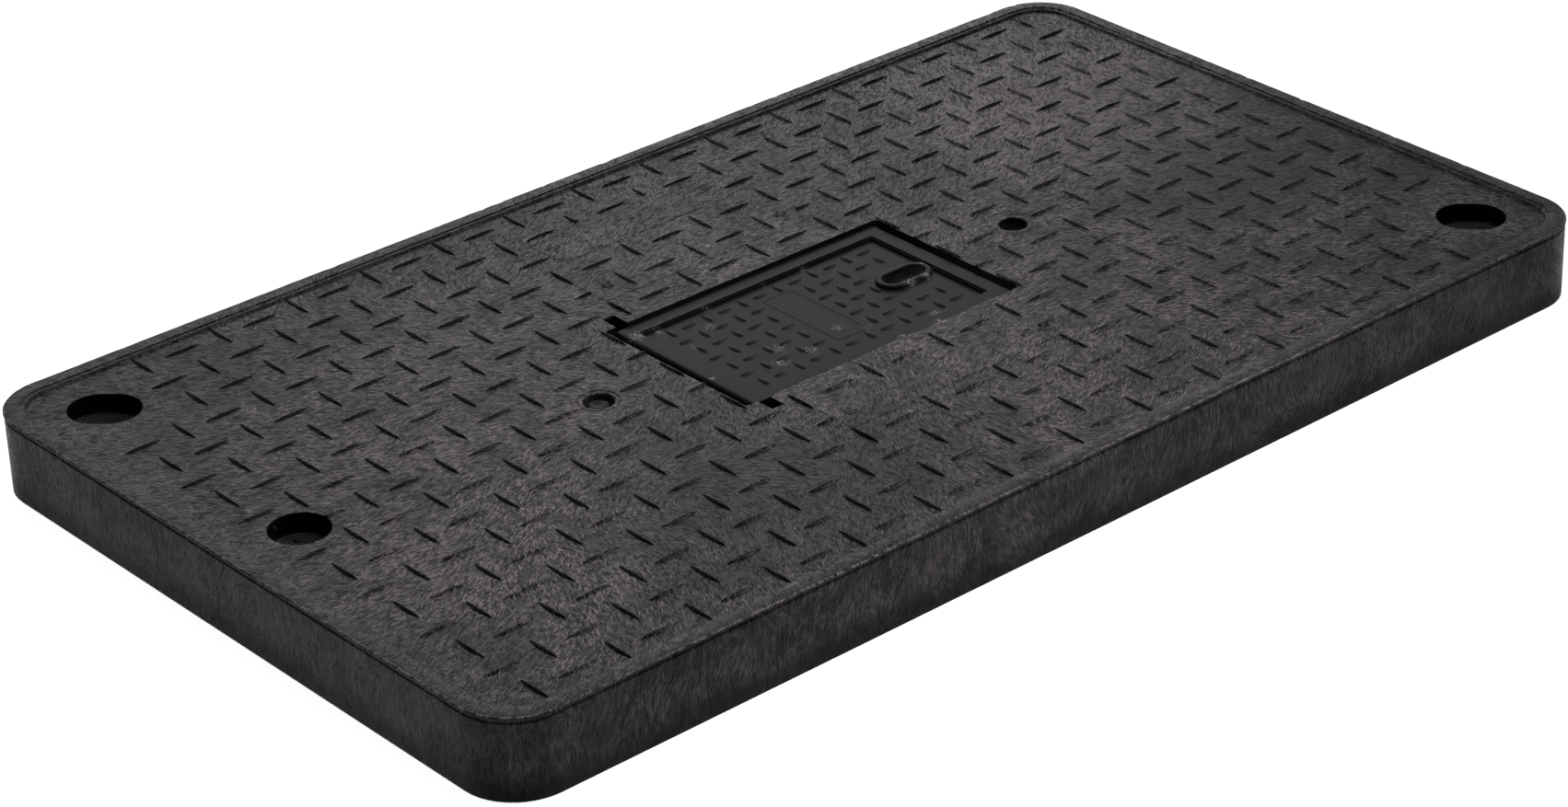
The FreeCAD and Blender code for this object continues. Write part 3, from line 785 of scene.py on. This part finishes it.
# %% A tree that grows by calls
class Nodes:
    """A tree of nodes, to which each call adds one."""

    def __init__(self, tree):
        self.tree = tree

    def put(self, kind, inputs, output=0, **settings):
        """A node with its settings, and its inputs linked or set. One of its outputs comes back."""
        node = self.tree.nodes.new("ShaderNode" + kind)
        for key, value in settings.items():
            setattr(node, key, value)
        for socket, value in inputs.items():
            if isinstance(value, Value):
                self.tree.links.new(value.socket, node.inputs[socket])
            else:
                node.inputs[socket].default_value = value
        return Value(self, node.outputs[output])

    def lead(self, value, node, socket):
        """Leads a value into a node that the tree has from the start."""
        self.tree.links.new(value.socket, self.tree.nodes[node].inputs[socket])

    def math(self, operation, a, b=0.0, c=0.0):
        """One step of arithmetic."""
        return self.put("Math", {0: a, 1: b, 2: c}, operation=operation)

    def total(self, *parts):
        """The sum of several values, each given as a value and its weight."""
        result = 0.0
        for value, weight in parts:
            result = self.math("MULTIPLY_ADD", value, weight, result)
        return result

    def vector(self, operation, a, b=(0.0, 0.0, 0.0), c=(0.0, 0.0, 0.0), scale=1.0):
        """One step of vector arithmetic. Products and distances come back as a number."""
        output = "Value" if operation in ("DOT_PRODUCT", "DISTANCE") else "Vector"
        return self.put("VectorMath", {0: a, 1: b, 2: c, 3: scale}, output, operation=operation)

    def part(self, vector, axis):
        """One coordinate of a vector."""
        return self.put("SeparateXYZ", {0: vector}, axis)

    def step(self, value, low, high, to_low=0.0, to_high=1.0):
        """A smooth step from one value to another as the input goes from low to high."""
        return self.put("MapRange", {0: value, 1: low, 2: high, 3: to_low, 4: to_high},
                        interpolation_type="SMOOTHSTEP")

    def turned(self, position, angle, along, across):
        """A position in the frame of a direction, with the two spacings in millimetres as its units."""
        return self.put("Mapping", {"Vector": position, "Rotation": (0, 0, angle),
                                    "Scale": (along * MM, across * MM, 1.0)}, vector_type="TEXTURE")

    def noise(self, position, scale, detail=2.0, roughness=0.5, flat=False, output="Fac"):
        """Noise from 0 to 1."""
        return self.put("TexNoise", {"Vector": position, "Scale": scale, "Detail": detail,
                                     "Roughness": roughness},
                        output, noise_dimensions="2D" if flat else "3D")

    def mix(self, share, low, high):
        """A colour between two, by a share."""
        return self.put("Mix", {0: share, 6: low, 7: high}, 2, data_type="RGBA")


# %% A finish
class Finish(Nodes):
    """A material that is worked out from the place on the object."""

    def __init__(self, name, gloss):
        self.material = bpy.data.materials.new(name)
        self.material.use_nodes = True
        super().__init__(self.material.node_tree)
        shader = self.tree.nodes["Principled BSDF"]
        shader.inputs["Specular IOR Level"].default_value = gloss
        self.place = self.put("TexCoord", {}, "Object")

    def near(self, x, y, z, reach, core, ragged=None):
        """1 round a place in millimetres, within the core's share of the reach, and 0 past the reach."""
        distance = self.vector("DISTANCE", self.place, (x * MM, y * MM, z * MM))
        if ragged is not None:
            distance += ragged
        return self.step(distance, reach * MM, core * reach * MM)

    def done(self, colour, roughness, height, depth):
        """Leads in the colour, the roughness, and a bump whose depth is in millimetres."""
        bump = self.put("Bump", {"Height": height, "Distance": depth * MM, "Strength": 1.0})
        for value, socket in ((colour, "Base Color"), (roughness, "Roughness"), (bump, "Normal")):
            self.lead(value, "Principled BSDF", socket)
        return self.material


# %% [markdown]
# ## The flow of the plastic
#
# The cover's skin is full of short pale fibres and dark scores that lie the way the melt ran. The
# direction changes from place to place, so one stretched texture can't show it. Here six layers of
# long random cells lie in six directions, a cell's middle is one dash, and a slow field of directions
# decides how many dashes of each layer show. The field comes from a few places where the direction is
# known, with some noise between them. Six layers of stretched noise give longer, fainter strands the
# same way. The skin is also paler in some places and calmer in others. Mostly this is random tone, but
# at the back right corner it is a painted brightening where the light falls.

# %% The field of directions
# Each place has x and y in millimetres, the fibres' angle in degrees, and its reach.
flow_places = [
    (-330, 150, -42, 150), (-340, 40, -30, 110), (-330, -60, 12, 110), (-300, -190, 35, 130),
    (-200, 80, -35, 130), (-190, -60, 25, 100), (-180, -170, 60, 110), (-60, -190, 75, 110),
    (60, -150, 40, 100), (-60, 0, 10, 100), (0, 120, 10, 110), (-60, 190, 30, 100),
    (140, 60, 20, 110), (180, -100, -35, 130), (300, -150, -45, 150), (330, 0, -50, 130),
    (230, 130, 30, 130), (340, 190, 60, 110), (120, 200, 20, 100)]


def known_directions(f):
    """The local direction of the fibres, as the cosine and sine of twice its angle.

    Each known place adds its own direction, weighted by a smooth step that falls to nothing at its
    reach. Twice the angle is used because a fibre looks the same from both ends.
    """
    wandering = f.noise(f.place, 11.0, 1.0, output="Color")
    total = f.vector("MULTIPLY_ADD", wandering, (4.0, 4.0, 0.0), (-2.0, -2.0, 0.0))
    for x, y, angle, reach in flow_places:
        double = math.radians(2 * angle)
        weight = f.near(x, y, field_z, reach, 0.1)
        own = f.vector("SCALE", (math.cos(double), math.sin(double), 0.0), scale=weight)
        total = f.vector("ADD", total, own)
    return f.vector("NORMALIZE", total)


# %% Where the skin is paler, darker or calmer, with painted light at the back right corner
# Each place has x, y and its reach in millimetres, how much paler the skin is, and how calm.
# The place at x 290, y 110 makes the skin three times as pale and calmer. That is painted light, where the
# light falls brightest at the back right. The other places are random tone.
tone_and_painted_light_places = [
    (-300, -20, 140, 0.35, 0.0), (-310, -130, 100, 0.35, 0.0), (-140, -142, 150, -0.58, 0.0),
    (45, -170, 120, 0.08, 0.2), (110, 150, 130, -0.22, 0.0), (290, 110, 140, 2.00, 0.6),
    (275, -45, 90, -0.45, 0.6), (-345, 130, 70, 0.05, 0.5), (230, 60, 60, 0.10, 0.3)]


def gain_and_calm(f):
    """How pale the skin is, as a factor, and how few its fibres are, from 0 to 1."""
    gain = 1.0
    calm = 0.0
    ragged = f.noise(f.place, 24.0, 3.0, 0.6) * 0.10 - 0.05
    for x, y, reach, more, calmness in tone_and_painted_light_places:
        weight = f.near(x, y, field_z, reach, 0.2, ragged)
        gain = f.math("MULTIPLY_ADD", weight, more, gain)
        calm = f.math("MULTIPLY_ADD", weight, calmness, calm)
    blotches = f.step(f.noise(f.place, 16.0, 5.0, 0.7), 0.34, 0.66, 0.80, 1.18)
    return gain * blotches, f.math("MINIMUM", calm, 1.0)


# %% Six turned layers
layer_angles = [math.radians(30 * k) for k in range(6)]


def layer_weights(f, flow):
    """How much each of the six layers counts: the cube of its agreement with the flow, in shares."""
    weights = []
    for angle in layer_angles:
        agreement = f.vector("DOT_PRODUCT", flow, (math.cos(2 * angle), math.sin(2 * angle), 0.0))
        weights.append(f.math("POWER", f.math("MAXIMUM", agreement, 0.01), 3.0))
    whole = sum(weights[1:], weights[0])
    return [f.math("DIVIDE", weight, whole) for weight in weights]


def dashes(f, position, weights, across, along, seed):
    """How strongly a short straight dash covers each point, from 0 to 1.

    Each of the six turned layers is cut into long random cells, and a cell's middle is a dash. The
    cell's own random value says how strong the dash is, and the more the layer agrees with the
    flow, the more of its dashes show.
    """
    cover = 0.0
    for k, (angle, weight) in enumerate(zip(layer_angles, weights)):
        shift = (seed + 5.3 * k, seed * 2.3, 0.0)
        place = f.vector("ADD", f.turned(position, angle, along, across), shift)
        cell = f.put("TexVoronoi", {"Vector": place, "Scale": 1.0}, "Distance", voronoi_dimensions="2D")
        chance = f.math("MULTIPLY_ADD", weight, 0.40, cell.other("Color"))
        dash = f.step(cell, 0.45, 0.24) * f.step(chance, 0.68, 1.08)
        cover = f.math("MAXIMUM", cover, dash)
    return cover


def stretched(f, position, weights, across, along, detail, seed):
    """Stretched noise along the flow: the weighted sum of six turned layers, about zero."""
    total = 0.0
    for k, (angle, weight) in enumerate(zip(layer_angles, weights)):
        shift = (seed + 3.1 * k, seed * 1.7, 0.0)
        place = f.vector("ADD", f.turned(position, angle, along, across), shift)
        value = f.noise(place, 1.0, detail, 0.65, flat=True) - 0.5
        total = f.math("MULTIPLY_ADD", value, weight, total)
    return total


# %% The finish of the tread
dark_plastic = (0.0032, 0.0029, 0.0030, 1.0)
pale_plastic = (0.230, 0.208, 0.213, 1.0)


def tread_finish(name, fibre_share, skin_share, gloss, worn_at=None, painted_light_by_face=False):
    """Black plastic with pale fibres and dark scores, and patches where they lie thicker.

    Where worn_at is given, the skin is scraped pale at that distance down the rim's own map. Where the
    piece's own number for each face is asked for, it says how much of the pale skin each face keeps. On the
    lugs this paints shade on the flanks and a highlight on the crests.
    """
    f = Finish(name, gloss)
    weights = layer_weights(f, known_directions(f))
    fibres = f.math("MAXIMUM", dashes(f, f.place, weights, 1.4, 8.0, 1.3),
                    dashes(f, f.place, weights, 1.1, 4.6, 8.9) * 0.9)
    scores = dashes(f, f.place, weights, 1.3, 6.5, 5.7)
    strands = stretched(f, f.place, weights, 2.6, 15.0, 3.0, 7.7)
    clouds = f.step(f.noise(f.place, 60.0, 4.0, 0.7), 0.36, 0.66)
    crowding = f.step(f.noise(f.place, 34.0, 3.0, 0.65), 0.36, 0.64, 0.38, 1.0)
    gain, calm = gain_and_calm(f)
    fibres = f.math("POWER", fibres * crowding * (1.0 - calm), 1.1)
    skin = f.total((f.step(strands, -0.10, 0.20), 0.04), (clouds, 0.05), (crowding, 0.01), (calm, 0.20))
    level = f.total((fibres, 1.10 * fibre_share), (skin, skin_share)) * gain
    # The lugs' own numbers paint shade on their flanks and a highlight on their crests.
    if painted_light_by_face:
        level *= f.put("Attribute", {}, "Fac", attribute_name="painted_light_share")
    if worn_at is not None:
        down_wall = f.part(f.put("UVMap", {}, uv_map="along_wall"), 1)
        reach = f.math("ABSOLUTE", down_wall - worn_at * MM)
        patchy = f.step(f.noise(f.place, 240.0, 3.0, 0.7), 0.40, 0.60)
        level += f.step(reach, 1.5 * MM, 0.5 * MM) * patchy * 1.2
    level *= 1.0 - scores * 0.92
    roughness = f.total((clouds, -0.06), (scores, 0.18), (fibres, -0.05), (crowding, -0.04)) + 0.42
    height = f.total((strands, 0.2), (fibres, 0.6), (scores, -0.7))
    return f.done(f.mix(level, dark_plastic, pale_plastic), roughness, height, 0.45)


edge_place = down[np.argmin(section_inset + cover_height - section_z)]
tread_plastic = tread_finish("tread_plastic", 1.0, 1.0, 0.18)
lug_plastic = tread_finish("lug_plastic", 0.70, 0.90, 0.12, painted_light_by_face=True)
rim_plastic = tread_finish("rim_plastic", 0.50, 0.6, 0.25, worn_at=edge_place)
print("the tread's finish has", len(tread_plastic.node_tree.nodes), "nodes")


# %% The finish of the walls
def wall_finish():
    """Black plastic whose fibres stand nearly upright, with a smooth dark foot.

    The fibres follow the wall's own map, whose unit is a metre along the wall and down it.
    """
    f = Finish("wall_plastic", 0.08)
    position = f.put("UVMap", {}, uv_map="along_wall")
    sway = f.noise(position, 26.0, 3.0, output="Color")
    flow = f.vector("MULTIPLY_ADD", sway, (4.0, 6.0, 0.0), (-2.75, -3.0, 0.0))
    weights = layer_weights(f, f.vector("NORMALIZE", flow))
    fibres = f.math("MAXIMUM", dashes(f, position, weights, 1.5, 9.0, 4.1),
                    dashes(f, position, weights, 1.2, 5.0, 2.6) * 0.8)
    scores = dashes(f, position, weights, 1.6, 9.0, 5.7)
    strands = stretched(f, position, weights, 2.4, 20.0, 3.0, 9.2)
    clouds = f.step(f.noise(position, 22.0, 4.0, 0.62, flat=True), 0.34, 0.68)
    crowding = f.step(f.noise(position, 40.0, 3.0, 0.65, flat=True), 0.40, 0.62, 0.12, 1.0)
    ragged = f.noise(position, 60.0, 3.0, 0.6, flat=True) * 12.0 - 6.0
    above_foot = f.step(f.part(f.place, "Z") * (1 / MM) + ragged, 2.0, 19.0)
    fibres = fibres * crowding * above_foot
    skin = f.total((f.step(strands, -0.10, 0.20), 0.16), (clouds, 0.10), (crowding, 0.04))
    skin *= above_foot * 0.80 + 0.20
    level = f.total((fibres, 0.52), (skin, 1.60)) * (1.0 - scores * 0.7)
    roughness = f.total((clouds, -0.06), (above_foot, -0.10), (scores, 0.14)) + 0.56
    height = f.total((strands, 0.5), (fibres, 0.5), (scores, -0.5)) * above_foot
    return f.done(f.mix(level, dark_plastic, pale_plastic), roughness, height, 0.40)


wall_plastic = wall_finish()


# %% [markdown]
# ## Plainer skins
#
# Inside the holes and under the plate the melt met the mould's plain steel, and little light gets
# there. That skin is darker, with a fine grain and no fibres. Inside the holes the walls are painted
# near black as shade, and the floors of the blind holes are painted paler, as light. The floors also
# keep the rings of the cutter that made their pins, as a fine wave of the distance from the middle.

# %% The finishes of the holes and the underside
def hole_finish():
    """Plastic painted near black as shade, with floors painted paler as light, and turned rings from the
    radius that each point of a hole's piece keeps.
    """
    f = Finish("hole_plastic_painted_shade_and_light", 0.10)
    floor_z = field_z - hole_depth
    radius = f.put("Attribute", {}, "Fac", attribute_name="radius_mm")
    grain = f.noise(f.place, 700.0)
    uneven_radius = f.noise(f.place, 120.0, 3.0, 0.6) * 1.1 + radius
    on_floor = f.step(f.part(f.place, "Z"), (floor_z + 0.9) * MM, (floor_z + 0.2) * MM)
    rings = f.math("SINE", uneven_radius * 2.6) * on_floor
    scratches = f.step(f.noise(f.place, 260.0, 3.0, 0.7), 0.66, 0.74)
    # The floors are painted paler as light, and the walls stay near black as painted shade. The rings and
    # the scratches are marks.
    level = f.math("MAXIMUM", f.total((on_floor, 0.24), (rings, 0.24), (scratches, 0.05)), 0.0)
    colour = f.mix(level, (0.0022, 0.0021, 0.0022, 1.0), (0.24, 0.228, 0.232, 1.0))
    return f.done(colour, grain * 0.15 + 0.42, f.total((grain, 0.3), (rings, 0.5)), 0.08)


def underside_finish():
    """Plain dark plastic with a fine grain and faint clouds."""
    f = Finish("underside_plastic", 0.25)
    clouds = f.noise(f.place, 24.0, 4.0, 0.6)
    grain = f.noise(f.place, 800.0)
    level = f.total((clouds, 0.6), (grain, 0.3))
    colour = f.mix(level, (0.003, 0.0028, 0.0029, 1.0), (0.016, 0.015, 0.0155, 1.0))
    return f.done(colour, clouds * 0.12 + 0.52, grain, 0.03)


hole_plastic_painted_shade_and_light = hole_finish()
underside_plastic = underside_finish()

# %% [markdown]
# ## The lid's finish, with dust
#
# The lid is moulded from a cleaner plastic: smooth, satin, with hardly any fibres. Its lugs are worn
# paler than its panel, so they have a finish of their own. Pale dust has stayed on the lid's frame,
# round the finger slot and on some of the lugs. The dust is a colour that a grainy noise lets
# through, near a few chosen places only.

# %% The finish of the lid
# Each place has x, y and its reach in millimetres.
dust_places = [(-88, 46, 11), (-74, 45, 8), (-38, 46, 6), (4, 46, 5), (33, 46, 6), (-90, -20, 4),
               (-50, 30, 8), (-72, 17, 6), (-40, -16, 9), (-50, -30, 9), (-28, -30, 9), (50, -46, 9),
               (43, -56, 6), (16, -57, 8), (64, -9, 9), (76, -9, 7), (84, 3, 4), (0, -20, 8), (12, -30, 7)]
dust_colour = (0.34, 0.33, 0.32, 1.0)


def lid_finish(name, low, high):
    """Smooth black plastic with a fine satin grain and a little pale dust."""
    f = Finish(name, 0.08)
    clouds = f.noise(f.place, 40.0, 4.0, 0.6)
    grain = f.noise(f.place, 900.0)
    dusty = 0.0
    for x, y, reach in dust_places:
        dusty = f.math("MAXIMUM", dusty, f.near(x, y, lid_top_z, reach, 0.0))
    grains = f.noise(f.place, 620.0, 4.0, 0.75)
    dust = f.step(dusty * 0.22 + grains, 0.64, 0.76) * f.step(dusty, 0.02, 0.3)
    plain = f.mix(f.total((clouds, 0.45), (grain, 0.35)), low, high)
    roughness = f.total((clouds, 0.10), (dust, 0.3)) + 0.36
    height = f.total((grain, 0.5), (clouds, 1.0), (dust, 1.2))
    return f.done(f.mix(dust, plain, dust_colour), roughness, height, 0.06)


lid_plastic = lid_finish("lid_plastic", (0.004, 0.0038, 0.0039, 1.0), (0.030, 0.0282, 0.029, 1.0))
lid_lug_plastic = lid_finish("lid_lug_plastic", (0.010, 0.0094, 0.0097, 1.0), (0.085, 0.079, 0.081, 1.0))

# %% Put the finishes on, and say what each piece rides on
finishes = [
    ("cover", [cover_shell], [underside_plastic]),
    ("cover", [tread_field] + plates + marks, [tread_plastic]),
    ("cover", [tread_lugs], [lug_plastic]),
    # The feed marks' insides take darker finishes, as painted shade.
    ("cover", [left_gate], [tread_plastic, lid_plastic]),
    ("cover", [right_gate], [tread_plastic, hole_plastic_painted_shade_and_light]),
    ("cover", [cover_rim], [rim_plastic, wall_plastic]),
    ("cover", hole_liners, [hole_plastic_painted_shade_and_light]),
    ("reader_lid", [lid_lugs], [lid_lug_plastic]),
    ("reader_lid", [lid_collar, lid_band_line], [lid_plastic]),
    ("reader_lid", [lid_shell], [lid_plastic, underside_plastic])]
for body, pieces, materials in finishes:
    for piece in pieces:
        for material in materials:
            piece.data.materials.append(material)
        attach(piece, body)

is_second = {cover_rim: is_wall_row}
# Below the field and within ten millimetres of its middle, each feed mark takes its darker finish, as
# painted shade.
for piece in (left_gate, right_gate):
    x, y, z = per_face(piece, "center", 3).T / MM
    is_second[piece] = (z < field_z - 0.6) & (np.hypot(np.abs(x) - gate_x, y) <= 10)
is_second[lid_shell] = per_face(lid_shell, "center", 3)[:, 2] / MM < lid_panel_z - 0.4
for piece, chosen in is_second.items():
    piece.data.polygons.foreach_set("material_index", chosen.astype(np.int32))
    print(piece.name, "has its second finish on", chosen.sum(), "of", len(chosen), "faces")
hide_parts("cover")
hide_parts("reader_lid")

# %% [markdown]
# ## The stage and its light
#
# The object stands on a pale floor, and the camera sees the floor and the background as white. The
# light is a surround that is bright near the floor and on the far side and dark overhead, and four
# lamps whose grids keep their light to a cone. All of it is slightly warm. A black, satin thing
# shows mostly what it mirrors, so the dark ceiling draws the lugs' near flanks, and the bright far
# side draws the field between them.

# %% The floor's finish
floor_glow = 0.96
floor_white = bpy.data.materials.new("floor_white")
floor_white.use_nodes = True
f = Nodes(floor_white.node_tree)
to_camera = f.put("LightPath", {}, "Is Camera Ray")
seen = f.math("MAXIMUM", to_camera, to_camera.other("Is Glossy Ray"))
glow = f.put("Emission", {"Strength": seen * floor_glow})
diffuse = f.put("BsdfDiffuse", {"Color": (0.82, 0.82, 0.82, 1.0)})
f.lead(f.put("AddShader", {0: diffuse, 1: glow}), "Material Output", "Surface")
floor.data.materials.append(floor_white)

# %% The surround
studio_tint = (1.0, 0.962, 0.974)
surround = [(0.0, 0.55), (0.42, 0.55), (0.58, 0.06), (0.85, 0.04), (1.0, 0.04)]
far_side = (0.66, 0.75, 0.0)
near_share = 0.16
world = bpy.data.worlds.new("studio")
bpy.context.scene.world = world
world.use_nodes = True
f = Nodes(world.node_tree)
direction = f.put("TexCoord", {}, "Generated")
ramp = f.put("ValToRGB", {0: f.part(direction, "Z")}, "Color")
brightness = f.step(f.vector("DOT_PRODUCT", direction, far_side), 0.1, 0.75, near_share)
dimmed = f.vector("SCALE", ramp, scale=brightness)
to_camera = f.put("LightPath", {}, "Is Camera Ray")
f.lead(f.mix(to_camera, dimmed, (1.0, 1.0, 1.0, 1.0)), "Background", "Color")
stops = ramp.socket.node.color_ramp.elements
for place, value in surround[1:-1]:
    stops.new(place)
for stop, (place, value) in zip(stops, surround):
    stop.color = [value * part for part in studio_tint] + [1]


# %% The lamps: one at the right, two behind the object, and one overhead
def soft_light(name, place, towards, size, power, spread):
    """A rectangular lamp that faces a point, with a grid of a given spread in degrees."""
    light = bpy.data.lights.new(name, "AREA")
    light.energy = power
    light.color = studio_tint
    light.shape = "RECTANGLE"
    light.size, light.size_y = size
    light.spread = math.radians(spread)
    lamp = placed(name, light)
    lamp.location = place
    lamp.rotation_euler = (Vector(towards) - Vector(place)).to_track_quat("-Z", "Y").to_euler()


soft_light("right_box", (0.80, -0.45, 0.80), (-0.30, -0.12, 0.0), (0.4, 0.4), 0.55, 42)
soft_light("back_box", (0.45, 1.35, 1.00), (0.3, 0.2, 0.0), (0.9, 0.6), 1.0, 84)
soft_light("back_panel", (2.2, 2.55, 1.15), (0.2, 0.15, 0.0), (1.0, 0.9), 3.9, 140)
soft_light("high_box", (0.0, -0.1, 1.7), (0.0, 0.0, 0.0), (0.5, 0.5), 1.2, 90)

# %% The camera
azimuth, elevation, roll = -42.59, 28.40, -0.80
target = Vector((11.3, -96.8, 23.8)) * MM
distance = 2388.0 * MM
focal_px = 4783.0
middle_px = (1030.0, 431.0)
picture_width, picture_height = 1703, 877
camera = bpy.data.cameras.new("camera")
camera.sensor_width = 36
camera.lens = focal_px / picture_width * camera.sensor_width
camera.shift_x = (picture_width / 2 - middle_px[0]) / picture_width
camera.shift_y = (middle_px[1] - picture_height / 2) / picture_width
camera_object = placed("camera", camera)
pose = Matrix.Translation(target)
for angle, axis in ((azimuth, "Z"), (90 - elevation, "X"), (roll, "Z")):
    pose = pose @ Matrix.Rotation(math.radians(angle), 4, axis)
camera_object.matrix_world = pose @ Matrix.Translation((0, 0, distance))
bpy.context.scene.camera = camera_object
print("the camera stands", round(distance, 2), "m away, with a lens of", round(camera.lens, 1), "mm")

# %% The picture's colour transform
bpy.context.scene.view_settings.view_transform = "Standard"
